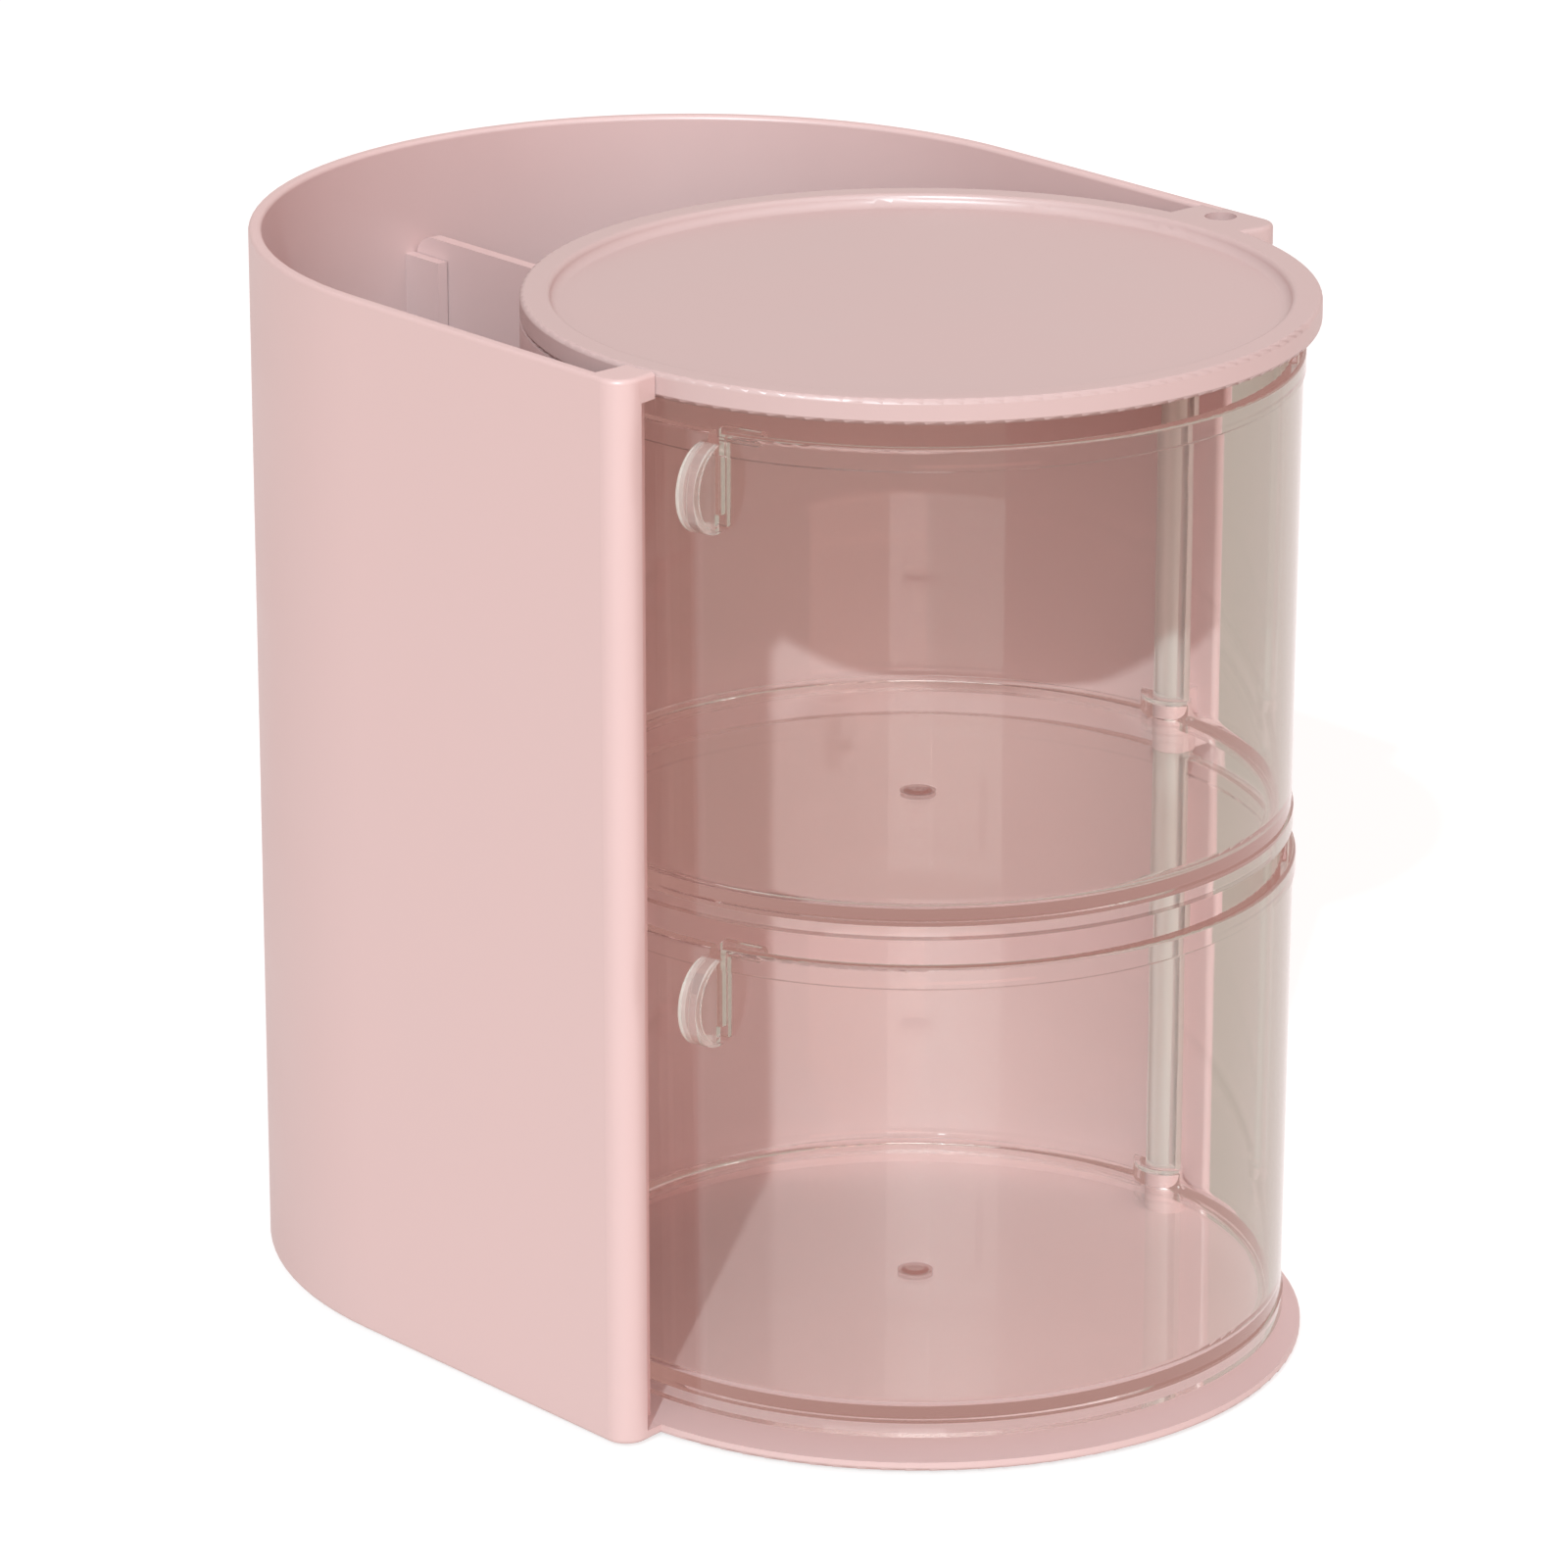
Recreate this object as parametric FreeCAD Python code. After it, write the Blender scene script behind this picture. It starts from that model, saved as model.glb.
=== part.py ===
import FreeCAD, Part
import math
import os

# Desktop powder puff box: an open rear compartment in a D-shaped housing, and two clear
# round drawers, one above the other, that swing out of a round bay on one steel rod.
# Millimetres. +Z is up, -Y is the front, +X is the hinge side.
# The origin is at the middle of the overall outline, on the surface that the box stands on.

Vector = FreeCAD.Vector
UP = Vector(0, 0, 1)

# Round bay for the drawers
bay_radius = 56.5
bay_wall = 1.5

# Overall housing
side_room = 7.2                 # from the bay wall's outer face to the side walls' outer faces
back_arc_centre = 51.8          # centre of the rounded back, behind the bay axis
nose_front = -8.7               # front ends of the side walls, measured from the bay axis
nose_radius = 3.6
nose_slant = 10.0               # degrees that the noses' front faces lean back towards the bay
post_width = 4.7                # front post of the left side wall, seen from the front
step_setback = 4.4              # from the nose's front to the step beside the left post
pocket_front_wall = 1.8         # behind that step, in front of the rear compartment
wall = 2.0
floor_thickness = 1.5
rim_round = 0.7
foot_round = 0.7

# Drawers
drawer_height = 72.2
drawer_bottom_gap = 2.8         # above the bay floor
drawer_gap = 4.1                # above each drawer
drawer_clearance = 0.65         # between a drawer's rim and the bay wall
rim_band_height = 3.0
rim_band_step = 0.35
drawer_draft = 0.45             # how much the wall's radius shrinks down to the foot band
drawer_wall = 1.8
foot_band_height = 2.7
foot_band_step = 0.3
drawer_floor = 2.2
drawer_floor_raise = 1.5
foot_ring_wall = 2.4
drawer_inner_round = 2.0
rim_top_round = 0.5
pocket_height = 5.5             # room under a knuckle for what carries the rod
pocket_radius = 4.3
pocket_skin = 1.0
gate_mark_radius = 3.0
gate_mark_top_radius = 1.5
gate_mark_height = 0.35

# Top tray
tray_thickness = 3.8
tray_recess_depth = 1.9
tray_rim_width = 4.4
tray_corner_round = 1.4
tray_edge_round = 0.7
tray_fit = 0.1
tray_key_height = 2.4
tray_key_wall = 1.4
tray_key_start = 20.0           # degrees round the bay axis
tray_key_end = 170.0
ear_hole_radius = 2.4
ear_hole_depth = 2.2
ear_hole_inset = 4.3            # from the side wall's outer face
ear_hole_setback = 2.6          # in front of the seam with the side wall

# Hinge
hinge_inset = 1.2               # from the bay wall's inner face to the hinge axis
hinge_angle = 1.8               # degrees round the bay axis
rod_radius = 0.8
rod_running_gap = 0.05
rod_seat_gap = 0.02
rod_top_seat = 1.0              # depth of the rod's seat in the tray's underside
rod_end_gap = 0.3
rod_end_chamfer = 0.3
knuckle_radius = 3.1
knuckle_gap = 0.2               # between a knuckle's end and what it turns on
boss_radius = 3.4               # bosses that carry the rod
side_wall_end = -1.0            # front end of the hinge side wall beside the drawers
ear_seam = 2.8                  # seam between the tray's ear and the top of that wall
web_wall = 1.6
web_clearance = 0.4

# Drawer handle
handle_angle = 196.5            # degrees round the bay axis
handle_height = 12.8
handle_drop = 1.2               # from the drawer's rim to the handle's top
handle_reach = 7.6
handle_web = 1.7
handle_edge_width = 3.0
handle_edge_depth = 1.5
handle_slot_gap = 0.1
handle_neck = 1.6
handle_neck_rise = 2.1          # from the handle's bottom to the neck's
hook_width = 7.4                # the hook reaches to one side of the spine
hook_height = 1.9
hook_round = 0.7
hook_lip = 0.3                  # above the drawer's rim
spine_thickness = 1.0
spine_gap = 0.55                # between the drawer's inner face and the handle's spine

# Hinge bracket between the drawers
bracket_arm_width = 5.0
bracket_tongue = 1.1
bracket_tongue_gap = 0.1
bracket_block_length = 4.0
bracket_block_depth = 2.1
bracket_drawer_gap = 0.4

# Divider of the rear compartment
divider_thickness = 2.0
divider_drop = 14.5             # from the housing's rim to the divider's top
divider_side_gap = 0.15
divider_end_gap = 0.3
divider_corner = 4.0
guide_rib = 1.8
guide_back_depth = 8.0
guide_bay_depth = 5.0
guide_drop = 3.0                # from the divider's top to the guides' top

# Foot pads
foot_radius = 6.0
foot_stand = 0.8
foot_seat = 0.6
foot_edge = 0.25
foot_gap = 0.1
front_foot_angle = 40.0         # degrees each side of straight ahead, round the bay axis
front_foot_inset = 13.0         # from the bay wall's outer face
back_foot_side_inset = 25.2     # from the side walls' outer faces
back_foot_inset = 35.0          # from the rounded back

# How far tools reach past a face, and pieces into each other, when they are cut and joined
cut_margin = 1.0
join_overlap = 0.5
near = 0.05                     # edges closer than this to a place count as on it
flat = 0.01                     # edges with less height than this count as level

# Worked-out places, measured from the bay axis unless the name says otherwise
bay_outside = bay_radius + bay_wall
half_width = bay_outside + side_room
inner_side = half_width - wall
outline_back = back_arc_centre + half_width
compartment_back = outline_back - wall
bay_y = (bay_outside - outline_back) / 2.0
base_z = foot_stand
floor_top = base_z + floor_thickness
lower_drawer_z = floor_top + drawer_bottom_gap
upper_drawer_z = lower_drawer_z + drawer_height + drawer_gap
tray_seat_z = upper_drawer_z + drawer_height + drawer_gap
body_top = tray_seat_z + tray_thickness
rim_radius = bay_radius - drawer_clearance
rim_inner_radius = rim_radius - drawer_wall - rim_band_step
wall_radius_top = rim_radius - rim_band_step
wall_radius_foot = wall_radius_top - drawer_draft
tray_recess_radius = bay_outside - tray_rim_width
hinge_x = (bay_radius - hinge_inset) * math.cos(math.radians(hinge_angle))
hinge_y = (bay_radius - hinge_inset) * math.sin(math.radians(hinge_angle))
web_front = hinge_y + knuckle_radius + web_clearance
web_back = web_front + web_wall
step_back = nose_front + step_setback
divider_top = body_top - divider_drop
guide_top = divider_top - guide_drop
bracket_bottom = lower_drawer_z + drawer_height + knuckle_gap
bracket_top = upper_drawer_z + pocket_height - knuckle_gap
reach = 400.0                   # larger than the whole box, for cutting tools


def at_bay(shape):
    """Move a shape from the bay axis to its place in the part."""
    moved = shape.copy()
    moved.translate(Vector(0, bay_y, 0))
    return moved


def block(x_low, x_high, y_low, y_high, z_low, z_high):
    corner = Vector(x_low, y_low, z_low)
    return Part.makeBox(x_high - x_low, y_high - y_low, z_high - z_low, corner)


def post(radius, z_low, z_high, x=0.0, y=0.0):
    return Part.makeCylinder(radius, z_high - z_low, Vector(x, y, z_low), UP)


def turned(profile):
    """Turn a closed profile of (radius, height) points round the bay axis."""
    points = [Vector(radius, 0, height) for radius, height in profile]
    wire = Part.makePolygon(points + [points[0]])
    return Part.Face(wire).revolve(Vector(0, 0, 0), UP, 360)


def on_circle(radius, degrees):
    angle = math.radians(degrees)
    return radius * math.cos(angle), radius * math.sin(angle)


def anywhere(point):
    return True


def edges_at(shape, z, keep=anywhere):
    """Edges lying flat at height z whose middle point passes the keep test."""
    found = []
    for edge in shape.Edges:
        box = edge.BoundBox
        if abs(box.ZMin - z) < flat and abs(box.ZMax - z) < flat:
            middle = edge.valueAt((edge.FirstParameter + edge.LastParameter) / 2.0)
            if keep(middle):
                found.append(edge)
    return found


def edges_along_x(shape, z_above):
    """Edges that run along X above a height."""
    found = []
    for edge in shape.Edges:
        box = edge.BoundBox
        if box.YLength < flat and box.ZLength < flat and box.ZMin > z_above:
            found.append(edge)
    return found


def d_outline(inset, z):
    """Face of the housing's D-shaped plan, drawn in by inset."""
    side = half_width - inset
    corner = nose_radius - inset
    centre_x = half_width - nose_radius
    centre_y = nose_front + nose_radius
    half_turn = math.radians((90 - nose_slant) / 2.0)
    slant = math.radians(nose_slant)
    bend_x = centre_x + corner * math.cos(half_turn)
    bend_y = centre_y - corner * math.sin(half_turn)
    front_x = centre_x - corner * math.sin(slant)
    front_y = centre_y - corner * math.cos(slant)
    middle_y = front_y + front_x * math.tan(slant)
    left_low = Vector(-side, centre_y, z)
    left_high = Vector(-side, back_arc_centre, z)
    back = Vector(0, back_arc_centre + side, z)
    right_high = Vector(side, back_arc_centre, z)
    right_low = Vector(side, centre_y, z)
    right_bend = Vector(bend_x, bend_y, z)
    right_front = Vector(front_x, front_y, z)
    front_middle = Vector(0, middle_y, z)
    left_front = Vector(-front_x, front_y, z)
    left_bend = Vector(-bend_x, bend_y, z)
    edges = [
        Part.makeLine(left_low, left_high),
        Part.Arc(left_high, back, right_high).toShape(),
        Part.makeLine(right_high, right_low),
        Part.Arc(right_low, right_bend, right_front).toShape(),
        Part.makeLine(right_front, front_middle),
        Part.makeLine(front_middle, left_front),
        Part.Arc(left_front, left_bend, left_low).toShape(),
    ]
    return Part.Face(Part.Wire(edges))


def d_block(inset, z_low, z_high):
    return d_outline(inset, z_low).extrude(Vector(0, 0, z_high - z_low))


def hinge_recess():
    """Open corner beside the hinge that lets the drawers swing out, with a round wall end."""
    end_radius = wall / 2.0
    end_centre_x = half_width - end_radius
    end_centre_y = side_wall_end + end_radius
    front_part = block(hinge_x, reach, -reach, end_centre_y, floor_top, tray_seat_z)
    front_part = front_part.cut(post(end_radius, floor_top, tray_seat_z, end_centre_x, end_centre_y))
    roof_part = block(hinge_x, reach, -reach, ear_seam, tray_seat_z, body_top + cut_margin)
    knuckle_part = block(hinge_x, inner_side, -reach, web_front, floor_top, body_top + cut_margin)
    return [front_part, roof_part, knuckle_part]


def divider_guides():
    """Ribs in pairs that hold the divider's two ends."""
    slot = divider_thickness / 2.0 + divider_side_gap
    back_low = compartment_back - guide_back_depth
    bay_high = bay_outside + guide_bay_depth
    ribs = []
    for side in (-1, 1):
        left = min(side * slot, side * (slot + guide_rib))
        right = left + guide_rib
        back_rib = block(left, right, back_low, compartment_back + wall / 2.0, floor_top, guide_top)
        bay_rib = block(left, right, bay_outside - bay_wall / 2.0, bay_high, floor_top, guide_top)
        ribs += [back_rib, bay_rib]
    return ribs


def foot_places():
    """Centres of the four foot pads."""
    straight_ahead = -90
    places = []
    for side in (-1, 1):
        places.append(on_circle(bay_outside - front_foot_inset, straight_ahead + side * front_foot_angle))
    for side in (-1, 1):
        places.append((side * (half_width - back_foot_side_inset), outline_back - back_foot_inset))
    return places


def on_compartment_rim(point):
    """True on the straight and round stretches of the compartment's inner rim."""
    on_side = abs(abs(point.x) - inner_side) < near and point.y > 0
    on_back = abs(math.hypot(point.x, point.y - back_arc_centre) - inner_side) < near
    return on_side or (on_back and point.y > back_arc_centre)


def make_housing():
    """One moulding: floor, D-shaped outer wall, round bay wall, divider guides, hinge boss."""
    body = d_block(0, base_z, body_top)
    body = body.makeFillet(rim_round, edges_at(body, body_top))
    body = body.fuse(post(bay_outside, base_z, floor_top))
    body = body.removeSplitter()
    body = body.makeFillet(foot_round, edges_at(body, base_z))

    hollow = d_block(wall, floor_top, body_top + cut_margin)
    hollow = hollow.cut(post(bay_outside, floor_top, body_top + cut_margin))
    hollow = hollow.cut(block(0, reach, -reach, web_back, floor_top, body_top + cut_margin))
    front_of_bay = block(-bay_radius, bay_radius, -reach, 0, floor_top, body_top + cut_margin)
    hollow = hollow.cut(front_of_bay)
    pocket_front = step_back + pocket_front_wall
    hollow = hollow.cut(block(-reach, 0, -reach, pocket_front, floor_top, body_top + cut_margin))
    body = body.cut(hollow)
    inner_rim = edges_at(body, body_top, on_compartment_rim)
    body = body.makeFillet(rim_round, inner_rim)

    body = body.cut(post(bay_radius, floor_top, tray_seat_z + cut_margin))
    body = body.cut(post(bay_outside + tray_fit, tray_seat_z, body_top + cut_margin))
    body = body.cut(block(post_width - half_width, 0, -reach, step_back, floor_top, tray_seat_z))
    for recess in hinge_recess():
        body = body.cut(recess)
    ear_seat = d_block(wall - tray_fit, tray_seat_z, body_top + cut_margin)
    ear_seat = ear_seat.common(block(0, reach, -reach, web_back, tray_seat_z, body_top + cut_margin))
    body = body.cut(ear_seat)

    boss = post(boss_radius, floor_top, lower_drawer_z + pocket_height - knuckle_gap,
                hinge_x, hinge_y)
    body = body.multiFuse([boss] + divider_guides())
    rod_hole = post(rod_radius + rod_seat_gap, floor_top, reach, hinge_x, hinge_y)
    rod_hole = rod_hole.common(post(boss_radius, floor_top, lower_drawer_z + pocket_height,
                                    hinge_x, hinge_y))
    body = body.cut(rod_hole)
    body = body.cut(bracket_tongue_shape(bracket_tongue_gap))
    for x, y in foot_places():
        body = body.cut(post(foot_radius + foot_gap, base_z - cut_margin, base_z + foot_seat, x, y))
    return body.removeSplitter()


def ear_outline(z_low, z_high):
    """Nose-shaped ear that roofs the open corner beside the hinge."""
    nose = d_block(0, z_low, z_high)
    nose = nose.common(block(0, reach, -reach, ear_seam - tray_fit, z_low, z_high))
    tail = d_block(wall, z_low, z_high)
    tail = tail.common(block(0, reach, -reach, web_back, z_low, z_high))
    return nose.fuse(tail)


def on_recess_edge(point):
    return abs(math.hypot(point.x, point.y) - tray_recess_radius) < near


def ahead_of_seam(point):
    """True in front of the seam between the tray's ear and the hinge side wall."""
    return point.y < ear_seam - cut_margin


def make_top_tray():
    """Shallow round tray that closes the bay, with an ear over the hinge corner."""
    tray = post(bay_outside, tray_seat_z, body_top)
    tray = tray.fuse(ear_outline(tray_seat_z, body_top)).removeSplitter()
    outline = edges_at(tray, body_top, ahead_of_seam) + edges_at(tray, tray_seat_z, ahead_of_seam)
    tray = tray.makeFillet(tray_edge_round, outline)

    recess_floor = body_top - tray_recess_depth
    recess = post(tray_recess_radius, recess_floor, body_top + cut_margin)
    recess = recess.makeFillet(tray_corner_round, edges_at(recess, recess_floor))
    tray = tray.cut(recess)
    lip = edges_at(tray, body_top, on_recess_edge)
    tray = tray.makeFillet(tray_edge_round, lip)

    hole_low = body_top - ear_hole_depth
    hole_x = half_width - ear_hole_inset
    hole_y = ear_seam - ear_hole_setback
    tray = tray.cut(post(ear_hole_radius, hole_low, body_top + cut_margin, hole_x, hole_y))
    boss_low = upper_drawer_z + drawer_height + knuckle_gap
    joined = tray_seat_z + join_overlap
    boss = post(boss_radius, boss_low, joined, hinge_x, hinge_y)
    key_low = tray_seat_z - tray_key_height
    key_radius = bay_radius - tray_fit
    key = post(key_radius, key_low, joined).cut(post(key_radius - tray_key_wall, key_low, joined))
    key = key.common(sector(tray_key_start, tray_key_end, key_low, joined))
    tray = tray.multiFuse([boss, key])
    rod_hole = post(rod_radius + rod_seat_gap, boss_low - cut_margin, tray_seat_z + rod_top_seat,
                    hinge_x, hinge_y)
    return tray.cut(rod_hole).removeSplitter()


def sector(start, end, z_low, z_high):
    """Wedge round the bay axis from one angle to another, in degrees."""
    middle = (start + end) / 2.0
    points = [Vector(0, 0, z_low)]
    for degrees in (start, middle, end):
        x, y = on_circle(reach, degrees)
        points.append(Vector(x, y, z_low))
    face = Part.Face(Part.makePolygon(points + [points[0]]))
    return face.extrude(Vector(0, 0, z_high - z_low))


def off_axis(point):
    return math.hypot(point.x, point.y) > cut_margin


def drawer_cup(z):
    """Turned cup of a drawer: foot ring, raised floor, drafted wall and rim band."""
    top = z + drawer_height
    band_low = top - rim_band_height
    foot_high = z + foot_band_height
    foot_radius_out = wall_radius_foot + foot_band_step
    floor_low = z + drawer_floor_raise
    floor_high = floor_low + drawer_floor
    ring_inner = foot_radius_out - foot_ring_wall
    inner_low = wall_radius_foot - drawer_wall
    profile = [
        (0, floor_low),
        (ring_inner, floor_low),
        (ring_inner, z),
        (foot_radius_out, z),
        (foot_radius_out, foot_high),
        (wall_radius_foot, foot_high + foot_band_step),
        (wall_radius_top, band_low - rim_band_step),
        (rim_radius, band_low),
        (rim_radius, top),
        (rim_inner_radius, top),
        (inner_low, floor_high),
        (0, floor_high),
    ]
    cup = turned(profile)
    cup = cup.makeFillet(drawer_inner_round, edges_at(cup, floor_high, off_axis))
    return cup.makeFillet(rim_top_round, edges_at(cup, top))


def make_drawer(z):
    """Clear drawer with its hinge knuckle, the pocket under it and the handle's slot."""
    top = z + drawer_height
    inside = post(wall_radius_foot, z, top)
    cup = drawer_cup(z)
    ceiling = z + pocket_height + pocket_skin
    pocket_body = post(pocket_radius + pocket_skin, z + drawer_floor_raise, ceiling, hinge_x, hinge_y)
    pocket_body = pocket_body.common(inside)
    knuckle = post(knuckle_radius, z + pocket_height, top, hinge_x, hinge_y)
    gate_low = z + drawer_floor_raise + drawer_floor - join_overlap
    gate_mark = Part.makeCone(gate_mark_radius, gate_mark_top_radius, gate_mark_height + join_overlap,
                              Vector(0, 0, gate_low), UP)
    cup = cup.multiFuse([pocket_body, knuckle, gate_mark])
    low = z - cut_margin
    high = top + cut_margin
    cup = cup.cut(post(pocket_radius, low, z + pocket_height, hinge_x, hinge_y))
    cup = cup.cut(post(rod_radius + rod_running_gap, low, high, hinge_x, hinge_y))
    slot_low = top - handle_drop - handle_height + handle_neck_rise
    slot_half = handle_neck / 2.0 + handle_slot_gap
    slot = block(rim_inner_radius - cut_margin, rim_radius + cut_margin, -slot_half, slot_half,
                 slot_low, high)
    slot.rotate(Vector(0, 0, 0), UP, handle_angle)
    return cup.cut(slot).removeSplitter()


def handle_d(reach_out, width, z_low):
    """Upright D-shaped plate that stands out from the drawer's wall."""
    start = Vector(rim_radius, -width / 2.0, z_low)
    middle = Vector(rim_radius + reach_out, -width / 2.0, z_low + handle_height / 2.0)
    end = Vector(rim_radius, -width / 2.0, z_low + handle_height)
    edges = [Part.Arc(start, middle, end).toShape(), Part.makeLine(end, start)]
    return Part.Face(Part.Wire(edges)).extrude(Vector(0, width, 0))


def make_handle(z):
    """Clear pull: a D-shaped fin outside, a neck through the wall, a spine and hook inside."""
    top = z + drawer_height
    high = top - handle_drop
    low = high - handle_height
    fin = handle_d(handle_reach, handle_web, low)
    band = handle_d(handle_reach, handle_edge_width, low)
    inner_band = handle_d(handle_reach - handle_edge_depth, handle_edge_width, low)
    band = band.cut(inner_band)
    inner_face = rim_inner_radius - spine_gap
    neck_low = low + handle_neck_rise + handle_slot_gap
    neck = block(inner_face - join_overlap, rim_radius + join_overlap, -handle_neck / 2.0,
                 handle_neck / 2.0, neck_low, high)
    spine = block(inner_face - spine_thickness, inner_face, -handle_web / 2.0, handle_web / 2.0,
                  low, high)
    hook_top = top + hook_lip
    hook_start = -handle_web / 2.0
    hook = block(inner_face - spine_thickness, inner_face, hook_start, hook_start + hook_width,
                 hook_top - hook_height, hook_top)
    hook = hook.makeFillet(hook_round, edges_along_x(hook, low))
    handle = fin.multiFuse([band, neck, spine, hook]).removeSplitter()
    handle.rotate(Vector(0, 0, 0), UP, handle_angle)
    return handle


def bracket_tongue_shape(gap):
    """Tongue of the hinge bracket, or with a gap the groove that it sits in."""
    x_low = inner_side - bracket_block_length + bracket_tongue
    x_high = inner_side - bracket_tongue
    z_low = bracket_bottom + bracket_tongue
    z_high = bracket_top - bracket_tongue
    return block(x_low - gap, x_high + gap, web_front - bracket_tongue, web_front + bracket_tongue + gap,
                 z_low - gap, z_high + gap)


def make_hinge_bracket():
    """Stepped bracket in the hinge corner that steadies the rod between the two drawers."""
    boss = post(boss_radius, bracket_bottom, bracket_top, hinge_x, hinge_y)
    arm_low = hinge_y - bracket_arm_width / 2.0
    arm_top = upper_drawer_z - bracket_drawer_gap
    arm = block(hinge_x, inner_side, arm_low, web_front, bracket_bottom, arm_top)
    back_block = block(inner_side - bracket_block_length, inner_side, web_front - bracket_block_depth,
                       web_front, bracket_bottom, bracket_top)
    bracket = boss.multiFuse([arm, back_block, bracket_tongue_shape(0)])
    rod_hole = post(rod_radius + rod_seat_gap, bracket_bottom - cut_margin, bracket_top + cut_margin,
                    hinge_x, hinge_y)
    return bracket.cut(rod_hole).removeSplitter()


def make_hinge_rod():
    low = floor_top + rod_end_gap
    high = tray_seat_z + rod_top_seat - rod_end_gap
    rod = post(rod_radius, low, high, hinge_x, hinge_y)
    return rod.makeChamfer(rod_end_chamfer, edges_at(rod, low) + edges_at(rod, high))


def make_divider():
    half = divider_thickness / 2.0
    low = bay_outside + divider_end_gap
    high = compartment_back - divider_end_gap
    plate = block(-half, half, low, high, floor_top + divider_end_gap, divider_top)
    return plate.makeFillet(divider_corner, edges_along_x(plate, divider_top - near))


def make_foot(x, y):
    pad = post(foot_radius, 0, base_z + foot_seat, x, y)
    return pad.makeChamfer(foot_edge, edges_at(pad, 0))


parts = {
    "housing": make_housing(),
    "top_tray": make_top_tray(),
    "hinge_bracket": make_hinge_bracket(),
    "hinge_rod": make_hinge_rod(),
    "divider": make_divider(),
    "upper_drawer": make_drawer(upper_drawer_z),
    "lower_drawer": make_drawer(lower_drawer_z),
    "upper_handle": make_handle(upper_drawer_z),
    "lower_handle": make_handle(lower_drawer_z),
}
foot_names = ["front_left_foot", "front_right_foot", "back_left_foot", "back_right_foot"]
for foot_name, (foot_x, foot_y) in zip(foot_names, foot_places()):
    parts[foot_name] = make_foot(foot_x, foot_y)

os.makedirs("parts", exist_ok=True)
for name, shape in parts.items():
    placed = at_bay(shape)
    placed.exportStep("parts/" + name + ".step")
    box = placed.BoundBox
    print(name, "valid", placed.isValid(), "solids", len(placed.Solids),
          "volume", round(placed.Volume, 1),
          "x", round(box.XMin, 2), round(box.XMax, 2),
          "y", round(box.YMin, 2), round(box.YMax, 2),
          "z", round(box.ZMin, 2), round(box.ZMax, 2))
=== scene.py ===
import bpy
import math
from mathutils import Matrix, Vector


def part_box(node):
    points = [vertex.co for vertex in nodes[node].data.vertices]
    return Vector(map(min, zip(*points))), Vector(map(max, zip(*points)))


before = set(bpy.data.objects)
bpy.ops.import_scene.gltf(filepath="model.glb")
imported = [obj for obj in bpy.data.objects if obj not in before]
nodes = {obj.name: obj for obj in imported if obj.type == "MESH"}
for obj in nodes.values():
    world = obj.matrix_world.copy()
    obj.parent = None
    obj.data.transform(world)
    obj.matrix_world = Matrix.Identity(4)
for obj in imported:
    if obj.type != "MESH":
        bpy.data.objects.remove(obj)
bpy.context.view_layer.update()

# Camera: fitted to the photo's ellipses and outlines
CAMERA_PLACE = Vector((-0.7489, -0.8442, 0.4651))
CAMERA_TARGET = Vector((-0.0148, -0.0164, 0.0858))
CAMERA_AZIMUTH = -41.56         # degrees from the front, negative on the side away from the hinge
CAMERA_LENS = 182.0
CAMERA_SENSOR = 36.0
CAMERA_NEAR = 0.05
CAMERA_FAR = 50.0

# Key light, with directions in degrees from the front and degrees up
KEY_AZIMUTH = CAMERA_AZIMUTH - 10.0
KEY_ELEVATION = 34.0
KEY_STRENGTH = 1.44
KEY_COLOR = (0.915, 1.19, 1.25)
KEY_ANGLE = 1.0

# Soft light panels: azimuth, elevation, width, height, distance, brightness, colour
WHITE = (1.0, 1.0, 1.0)
FILL_COLOR = (1.0, 0.52, 0.46)
PANELS = {
    "panel_right": (CAMERA_AZIMUTH + 2.1, 22.0, 0.52, 0.75, 2.2, 2.2, WHITE),
    "panel_left": (CAMERA_AZIMUTH - 16.6, 22.0, 0.88, 0.75, 2.2, 1.5, WHITE),
    "above": (10.0, 60.0, 1.2, 1.2, 1.5, 1.55, WHITE),
    "fill": (CAMERA_AZIMUTH + 16.0, 9.0, 1.6, 0.9, 2.4, 1.65, FILL_COLOR),
}
UNMIRRORED_PANELS = ("above", "fill")
PANEL_AIM_HEIGHT = 0.08

# Surroundings: what lights the object, what it mirrors and what shows through clear plastic
SKY = (0.60, 0.395, 0.365)
REFLECTED = (0.72, 0.68, 0.65)
THROUGH_CLEAR = (0.46, 0.40, 0.34)
FLOOR_HALF = 6.0
FLOOR_COLOR = (0.62, 0.54, 0.49)
FLOOR_GLOW = 1.22               # what the camera sees of the floor: this glow by its share,
FLOOR_GLOW_SHARE = 0.6          # and white paint, which takes the object's shadow, by the rest

# Pink plastic
PINK = (0.685, 0.513, 0.504)
# The tray is the same plastic as the housing; its pink is painted shade, darker than PINK to
# offset the light that falls on its top.
TRAY_PINK_DARKENED = (0.575, 0.44, 0.432)
PINK_ROUGHNESS = 0.42
TRAY_ROUGHNESS = 0.38
SATIN_IOR = 2.1
TRAY_IOR = 1.9
SHADED_BAY_IOR = 1.45                  # painted shade: less sheen in the bay, so the shaded bay wall looks redder than the same plastic outside
BAY_REACH = 0.0577              # from the bay axis to inside the bay wall

# Clear plastic
CLEAR_IOR = 1.49
CLEAR_DRAWER = (0.985, 0.975, 0.965)
CLEAR_HANDLE = (0.98, 0.975, 0.97)
THROUGH_WALL = (1.0, 0.985, 0.98)
PAINTED_PIPED_GLOW = (0.41, 0.21, 0.18)      # painted glow in place of the pink light led inside the clear walls
TRAPPED_AFTER = 2.5             # inner reflections after which a ray counts as led inside the wall
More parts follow.
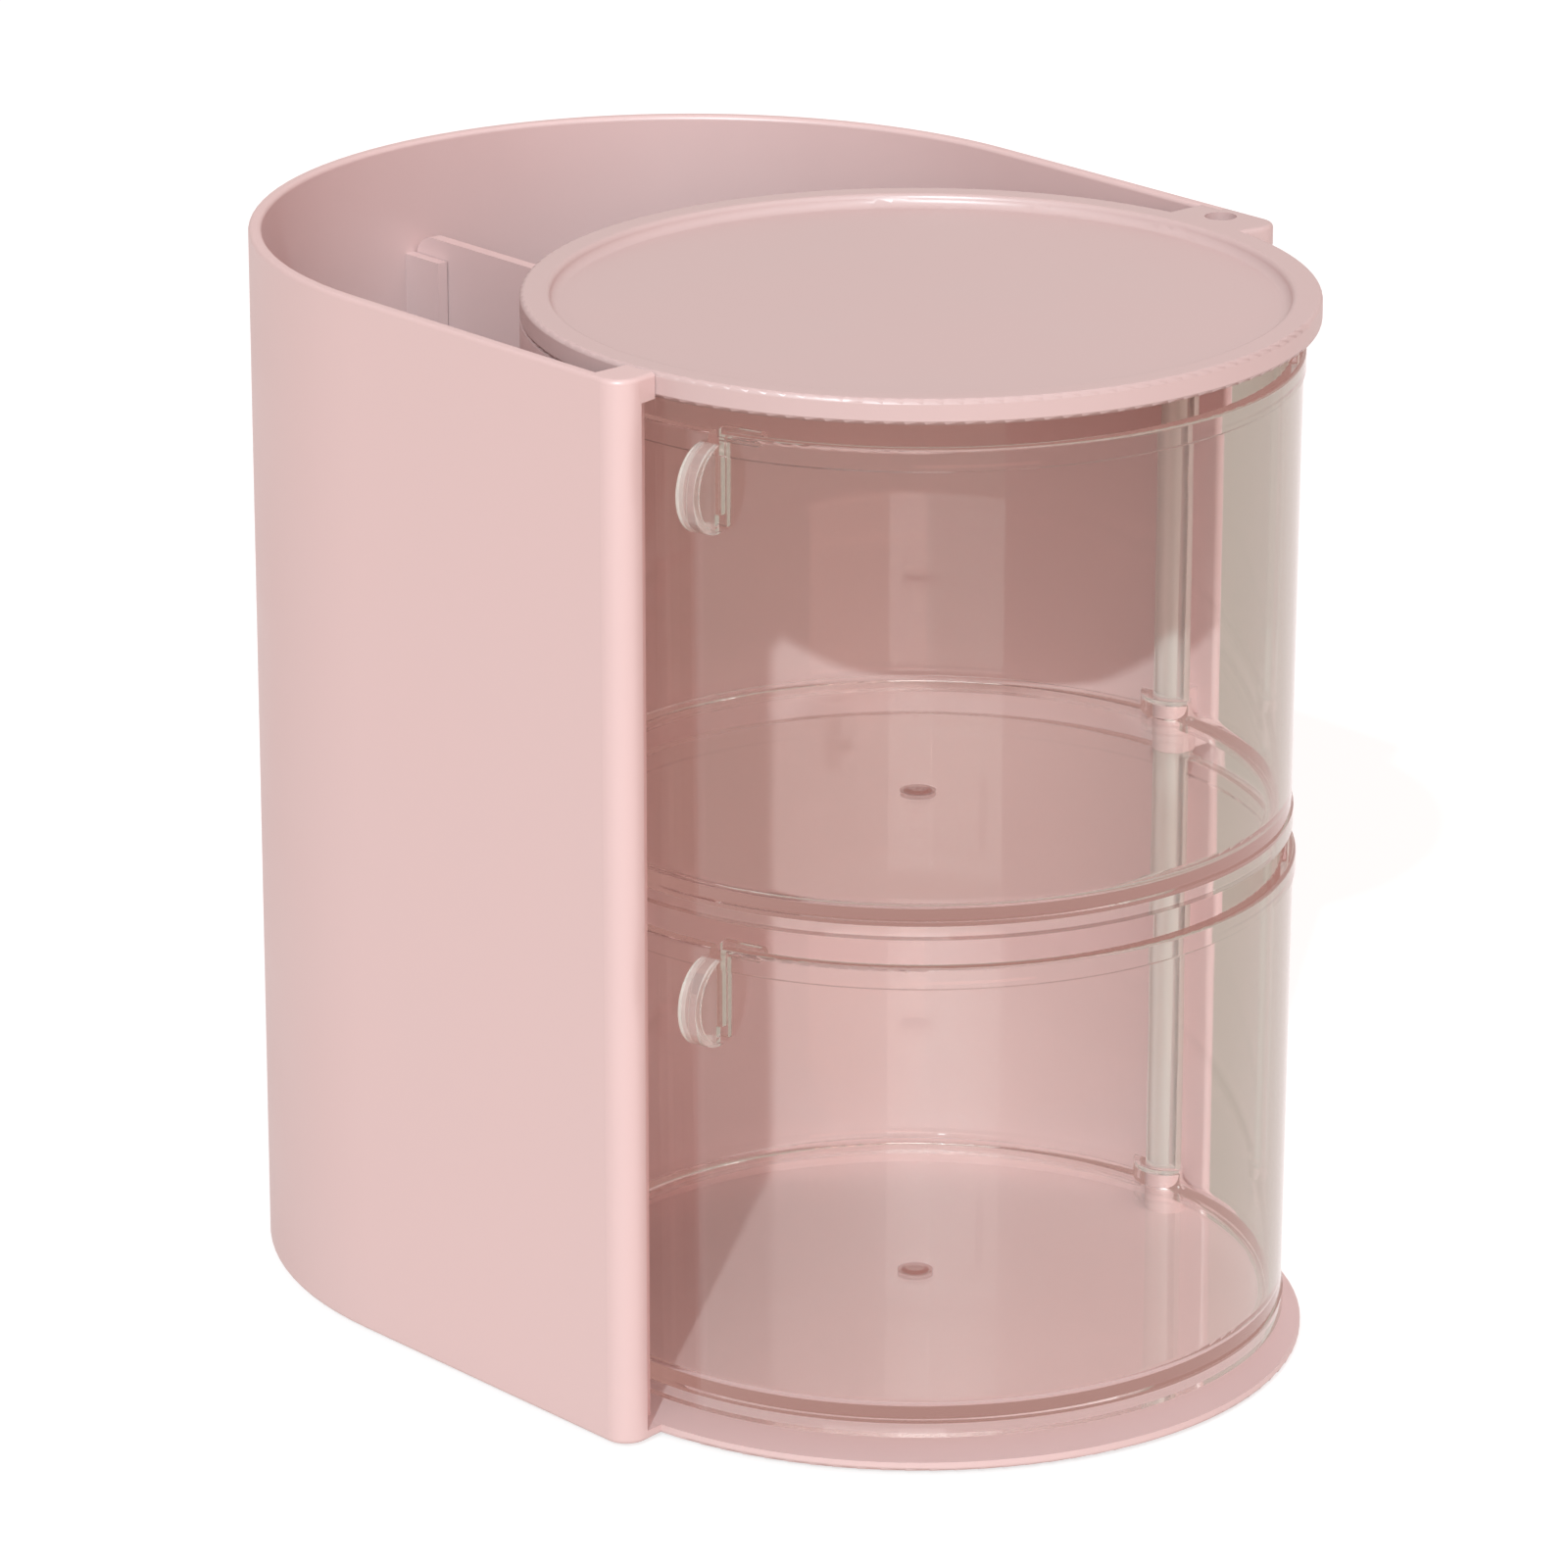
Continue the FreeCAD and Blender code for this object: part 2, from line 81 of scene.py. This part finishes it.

# Zones of the clear pieces where a plain colour is painted in: reach, colour and share of that
# colour
# The knuckle's grey is a painted reflection: a plain grey in place of the surroundings seen
# through the thick clear tube.
KNUCKLE_REACH = 0.0033
KNUCKLE_PAINTED_REFLECTION = (0.64, 0.63, 0.58)
KNUCKLE_SHARE = 0.6
# The gate mark's dark red-brown is painted shade, in place of the shaded pink seen through the
# clear mark.
GATE_REACH = 0.0027
GATE_PAINTED_SHADE = (0.30, 0.09, 0.07)
GATE_SHARE = 0.4
HANDLE_ANGLE = math.radians(196.5)
HANDLE_CENTRE = 0.05696         # from the bay axis to the middle of the handle's outer arc
HANDLE_HALF_HEIGHT = 0.0065
HANDLE_BAND_START = 0.0049      # from that middle to the inner edge of the thick band
# A pale plain colour mixed into the thick outer band of each handle.
HANDLE_BAND_COLOR = (0.80, 0.83, 0.79)
HANDLE_SHARE = 0.22

# Metal and pads
STEEL = (0.3, 0.22, 0.21)
STEEL_DARK = (0.24, 0.17, 0.16)
STEEL_LIGHT = (0.36, 0.27, 0.26)
PAD = (0.6, 0.57, 0.54)
PAD_DARK = (0.55, 0.52, 0.49)
PAD_LIGHT = (0.66, 0.63, 0.6)

# Axes of the bay and of the hinge, seen from above
drawer_low, drawer_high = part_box("lower_drawer")
rod_low, rod_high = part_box("hinge_rod")
BAY_AXIS = (0.0, (drawer_low[1] + drawer_high[1]) / 2)
HINGE_AXIS = ((rod_low[0] + rod_high[0]) / 2, (rod_low[1] + rod_high[1]) / 2)


def direction(azimuth, elevation):
    """Unit vector that points from the object to an azimuth and elevation in degrees."""
    a, e = math.radians(azimuth), math.radians(elevation)
    return Vector((math.sin(a) * math.cos(e), -math.cos(a) * math.cos(e), math.sin(e)))


def add_object(name, data):
    made = bpy.data.objects.new(name, data)
    bpy.context.scene.collection.objects.link(made)
    return made


def aim(thing, away):
    """Turn a lamp or camera so that it looks against the direction away."""
    thing.rotation_mode = "QUATERNION"
    thing.rotation_quaternion = away.to_track_quat("Z", "Y")


# Helpers that add nodes to a material's or the world's tree and give back the result's socket

def new_material(name):
    material = bpy.data.materials.new(name)
    material.use_nodes = True
    tree = material.node_tree
    tree.nodes.clear()
    output = tree.nodes.new("ShaderNodeOutputMaterial")
    return material, tree, output


def principled(tree, color, roughness, **sockets):
    """Principled shader node; a socket's name has _ for each space."""
    shader = tree.nodes.new("ShaderNodeBsdfPrincipled")
    shader.inputs["Base Color"].default_value = (*color, 1)
    shader.inputs["Roughness"].default_value = roughness
    for name, value in sockets.items():
        shader.inputs[name.replace("_", " ")].default_value = value
    return shader


def plain_shader(tree, kind, color):
    """Diffuse or transparent shader of one colour."""
    node = tree.nodes.new(kind)
    node.inputs["Color"].default_value = (*color, 1)
    return node.outputs["BSDF"]


def glow(tree, color, strength=1.0, kind="ShaderNodeEmission"):
    node = tree.nodes.new(kind)
    node.inputs["Color"].default_value = (*color, 1)
    node.inputs["Strength"].default_value = strength
    return node.outputs[0]


def mixed(tree, share, first, second):
    """Mix two shaders; share, a socket or number, is how much there is of the second."""
    node = tree.nodes.new("ShaderNodeMixShader")
    if isinstance(share, float):
        node.inputs["Fac"].default_value = share
    else:
        tree.links.new(share, node.inputs["Fac"])
    tree.links.new(first, node.inputs[1])
    tree.links.new(second, node.inputs[2])
    return node.outputs["Shader"]


def calculated(tree, operation, first, second=None):
    """Math node on sockets or numbers."""
    node = tree.nodes.new("ShaderNodeMath")
    node.operation = operation
    for place, value in enumerate((first, second)):
        if isinstance(value, (int, float)):
            node.inputs[place].default_value = value
        elif value is not None:
            tree.links.new(value, node.inputs[place])
    return node.outputs["Value"]


def noise(tree, scale, detail, stretch=(1, 1, 1)):
    place = tree.nodes.new("ShaderNodeTexCoord")
    mapping = tree.nodes.new("ShaderNodeMapping")
    mapping.inputs["Scale"].default_value = stretch
    grain = tree.nodes.new("ShaderNodeTexNoise")
    grain.inputs["Scale"].default_value = scale
    grain.inputs["Detail"].default_value = detail
    tree.links.new(place.outputs["Object"], mapping.inputs["Vector"])
    tree.links.new(mapping.outputs["Vector"], grain.inputs["Vector"])
    return grain.outputs["Fac"]


def spread(tree, value, low, high):
    """Map the middle of a noise value to a range."""
    node = tree.nodes.new("ShaderNodeMapRange")
    node.inputs["From Min"].default_value = 0.3
    node.inputs["From Max"].default_value = 0.7
    node.inputs["To Min"].default_value = low
    node.inputs["To Max"].default_value = high
    tree.links.new(value, node.inputs["Value"])
    return node.outputs["Result"]


def tinted(tree, value, dark, light):
    """Mix two colours by a noise value."""
    node = tree.nodes.new("ShaderNodeMix")
    node.data_type = "RGBA"
    node.inputs["A"].default_value = (*dark, 1)
    node.inputs["B"].default_value = (*light, 1)
    tree.links.new(value, node.inputs["Factor"])
    return node.outputs["Result"]


def bump(tree, height, strength, distance):
    node = tree.nodes.new("ShaderNodeBump")
    node.inputs["Strength"].default_value = strength
    node.inputs["Distance"].default_value = distance
    tree.links.new(height, node.inputs["Height"])
    return node.outputs["Normal"]


def scaled(color, factor):
    return tuple(min(channel * factor, 1.0) for channel in color)


# Masks: 1 in a zone of a piece and 0 elsewhere, in the piece's own axes, which move with it

def object_axes(tree):
    place = tree.nodes.new("ShaderNodeTexCoord")
    split = tree.nodes.new("ShaderNodeSeparateXYZ")
    tree.links.new(place.outputs["Object"], split.inputs["Vector"])
    return split.outputs["X"], split.outputs["Y"], split.outputs["Z"]


def distance_of(tree, first, second):
    """Length of the line whose two sides are given."""
    squares = [calculated(tree, "MULTIPLY", side, side) for side in (first, second)]
    return calculated(tree, "SQRT", calculated(tree, "ADD", *squares))


def near_axis(tree, axis, reach):
    """Mask of the upright cylinder round an axis."""
    x, y, _ = object_axes(tree)
    away = distance_of(tree, calculated(tree, "SUBTRACT", x, axis[0]),
                       calculated(tree, "SUBTRACT", y, axis[1]))
    return calculated(tree, "LESS_THAN", away, reach)


def handle_band(tree, height):
    """Mask of the thick outer band of a handle whose middle is at the given height."""
    x, y, z = object_axes(tree)
    from_bay = calculated(tree, "SUBTRACT", y, BAY_AXIS[1])
    along = calculated(tree, "ADD", calculated(tree, "MULTIPLY", x, math.cos(HANDLE_ANGLE)),
                       calculated(tree, "MULTIPLY", from_bay, math.sin(HANDLE_ANGLE)))
    out = calculated(tree, "SUBTRACT", along, HANDLE_CENTRE)
    up = calculated(tree, "SUBTRACT", z, height)
    in_band = calculated(tree, "GREATER_THAN", distance_of(tree, out, up), HANDLE_BAND_START)
    return calculated(tree, "MULTIPLY", in_band, calculated(tree, "GREATER_THAN", out, 0.0))


# Materials

def moulded_plastic(name, color, roughness, ior, has_bay):
    """Satin moulded plastic: faint cloudiness in colour and gloss, and a fine moulded grain."""
    material, tree, output = new_material(name)
    shader = principled(tree, color, roughness, IOR=ior)
    cloud = noise(tree, 38.0, 3.0)
    fine = noise(tree, 2600.0, 2.0)
    tree.links.new(tinted(tree, cloud, scaled(color, 0.975), scaled(color, 1.02)),
                   shader.inputs["Base Color"])
    tree.links.new(spread(tree, cloud, roughness - 0.03, roughness + 0.05),
                   shader.inputs["Roughness"])
    tree.links.new(bump(tree, fine, 0.12, 0.00005), shader.inputs["Normal"])
    # Painted shade: inside the bay the same plastic gets a lower IOR, so its shaded wall shows
    # less white sheen.
    if has_bay:
        in_bay = near_axis(tree, BAY_AXIS, BAY_REACH)
        change = calculated(tree, "MULTIPLY", in_bay, SHADED_BAY_IOR - ior)
        tree.links.new(calculated(tree, "ADD", ior, change), shader.inputs["IOR"])
    tree.links.new(shader.outputs["BSDF"], output.inputs["Surface"])
    return material


def clear_plastic(name, color, zones):
    """Clear moulded plastic. Lamps shine through it as through a thin clear wall.

    Each zone is a mask, a plain colour painted on the zone and the share of that colour. The mask
    is a function of the node tree.
    """
    material, tree, output = new_material(name)
    shader = principled(tree, color, 0.015, IOR=CLEAR_IOR, Transmission_Weight=1.0)
    smear = noise(tree, 60.0, 4.0)
    tree.links.new(spread(tree, smear, 0.008, 0.03), shader.inputs["Roughness"])
    surface = shader.outputs["BSDF"]
    for mask, zone_color, share in zones:
        surface = mixed(tree, calculated(tree, "MULTIPLY", mask(tree), share), surface,
                        plain_shader(tree, "ShaderNodeBsdfDiffuse", zone_color))
    path = tree.nodes.new("ShaderNodeLightPath")
    # Painted glow: a ray that counts as led inside the wall shows a set pink glow in place of the
    # light it would pick up.
    trapped = calculated(tree, "GREATER_THAN", path.outputs["Glossy Depth"], TRAPPED_AFTER)
    surface = mixed(tree, trapped, surface, glow(tree, PAINTED_PIPED_GLOW))
    for_lamps = calculated(tree, "MAXIMUM", path.outputs["Is Shadow Ray"],
                           path.outputs["Is Diffuse Ray"])
    surface = mixed(tree, for_lamps, surface,
                    plain_shader(tree, "ShaderNodeBsdfTransparent", THROUGH_WALL))
    tree.links.new(surface, output.inputs["Surface"])
    return material


def drawn_steel(name):
    """Steel wire: fine lines along it."""
    material, tree, output = new_material(name)
    shader = principled(tree, STEEL, 0.2, Metallic=1.0)
    lines = noise(tree, 900.0, 2.0, (1, 1, 0.02))
    tree.links.new(tinted(tree, lines, STEEL_DARK, STEEL_LIGHT), shader.inputs["Base Color"])
    tree.links.new(spread(tree, lines, 0.14, 0.26), shader.inputs["Roughness"])
    tree.links.new(bump(tree, lines, 0.2, 0.00003), shader.inputs["Normal"])
    tree.links.new(shader.outputs["BSDF"], output.inputs["Surface"])
    return material


def soft_pad(name):
    """Soft foot: a dull, finely pitted surface."""
    material, tree, output = new_material(name)
    shader = principled(tree, PAD, 0.85)
    grain = noise(tree, 1500.0, 4.0)
    tree.links.new(tinted(tree, grain, PAD_DARK, PAD_LIGHT), shader.inputs["Base Color"])
    tree.links.new(bump(tree, grain, 0.4, 0.0001), shader.inputs["Normal"])
    tree.links.new(shader.outputs["BSDF"], output.inputs["Surface"])
    return material


def dress(material, *names):
    for name in names:
        slots = nodes[name].data.materials
        slots.clear()
        slots.append(material)


def dress_handle(name):
    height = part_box(name)[0][2] + HANDLE_HALF_HEIGHT
    band_zone = (lambda tree: handle_band(tree, height), HANDLE_BAND_COLOR, HANDLE_SHARE)
    dress(clear_plastic("clear_moulded_" + name, CLEAR_HANDLE, [band_zone]), name)


def dress_nodes():
    dress(moulded_plastic("blush_satin_housing", PINK, PINK_ROUGHNESS, SATIN_IOR, True),
          "housing", "divider", "hinge_bracket")
    dress(moulded_plastic("blush_satin_tray", TRAY_PINK_DARKENED, TRAY_ROUGHNESS, TRAY_IOR, False),
          "top_tray")
    knuckle_reflection_zone = (lambda tree: near_axis(tree, HINGE_AXIS, KNUCKLE_REACH), KNUCKLE_PAINTED_REFLECTION,
                    KNUCKLE_SHARE)
    gate_shade_zone = (lambda tree: near_axis(tree, BAY_AXIS, GATE_REACH), GATE_PAINTED_SHADE, GATE_SHARE)
    dress(clear_plastic("clear_moulded_drawer", CLEAR_DRAWER, [knuckle_reflection_zone, gate_shade_zone]),
          "upper_drawer", "lower_drawer")
    dress_handle("upper_handle")
    dress_handle("lower_handle")
    dress(drawn_steel("drawn_steel_rod"), "hinge_rod")
    dress(soft_pad("pale_soft_pad"),
          "front_left_foot", "front_right_foot", "back_left_foot", "back_right_foot")


# Camera, stage and light

def make_camera():
    camera = add_object("camera", bpy.data.cameras.new("camera"))
    camera.data.sensor_width = CAMERA_SENSOR
    camera.data.lens = CAMERA_LENS
    camera.data.clip_start = CAMERA_NEAR
    camera.data.clip_end = CAMERA_FAR
    camera.location = CAMERA_PLACE
    aim(camera, CAMERA_PLACE - CAMERA_TARGET)
    bpy.context.scene.camera = camera


def seen_as(tree, real, shown, through):
    """Shader real, but shown to the camera and reflections, and through to clear plastic."""
    path = tree.nodes.new("ShaderNodeLightPath")
    looked_at = calculated(tree, "MAXIMUM", path.outputs["Is Camera Ray"],
                           path.outputs["Is Glossy Ray"])
    surface = mixed(tree, looked_at, real, shown)
    return mixed(tree, path.outputs["Is Transmission Ray"], surface, through)


def make_floor():
    mesh = bpy.data.meshes.new("floor")
    corners = [(-FLOOR_HALF, -FLOOR_HALF, 0), (FLOOR_HALF, -FLOOR_HALF, 0),
               (FLOOR_HALF, FLOOR_HALF, 0), (-FLOOR_HALF, FLOOR_HALF, 0)]
    mesh.from_pydata(corners, [], [(0, 1, 2, 3)])
    floor = add_object("floor", mesh)
    material, tree, output = new_material("studio_floor")
    kind = "ShaderNodeBsdfDiffuse"
    shown = mixed(tree, FLOOR_GLOW_SHARE, plain_shader(tree, kind, WHITE),
                  glow(tree, WHITE, FLOOR_GLOW))
    surface = seen_as(tree, plain_shader(tree, kind, FLOOR_COLOR), shown,
                      glow(tree, THROUGH_CLEAR))
    tree.links.new(surface, output.inputs["Surface"])
    mesh.materials.append(material)


def make_world():
    world = bpy.data.worlds.new("studio")
    bpy.context.scene.world = world
    world.use_nodes = True
    tree = world.node_tree
    tree.nodes.clear()
    output = tree.nodes.new("ShaderNodeOutputWorld")
    kind = "ShaderNodeBackground"
    path = tree.nodes.new("ShaderNodeLightPath")
    shown = mixed(tree, path.outputs["Is Camera Ray"], glow(tree, REFLECTED, 1.0, kind),
                  glow(tree, WHITE, 1.0, kind))
    surface = seen_as(tree, glow(tree, SKY, 1.0, kind), shown,
                      glow(tree, THROUGH_CLEAR, 1.0, kind))
    tree.links.new(surface, output.inputs["Surface"])


def panel(name, azimuth, elevation, width, height, distance, brightness, color):
    """Soft light panel that faces the object; a brightness of 1 is white."""
    data = bpy.data.lights.new(name, "AREA")
    data.shape = "RECTANGLE"
    data.size, data.size_y = width, height
    data.energy = brightness * math.pi * width * height
    data.color = color
    lamp = add_object(name, data)
    away = direction(azimuth, elevation)
    lamp.location = away * distance + Vector((0, 0, PANEL_AIM_HEIGHT))
    aim(lamp, away)
    lamp.visible_camera = False
    lamp.visible_glossy = name not in UNMIRRORED_PANELS


def make_lights():
    sun = bpy.data.lights.new("key", "SUN")
    sun.energy = KEY_STRENGTH
    sun.color = KEY_COLOR
    sun.angle = math.radians(KEY_ANGLE)
    aim(add_object("key", sun), direction(KEY_AZIMUTH, KEY_ELEVATION))
    for name, settings in PANELS.items():
        panel(name, *settings)


dress_nodes()
make_camera()
make_floor()
make_world()
make_lights()
bpy.context.scene.view_settings.view_transform = "Standard"
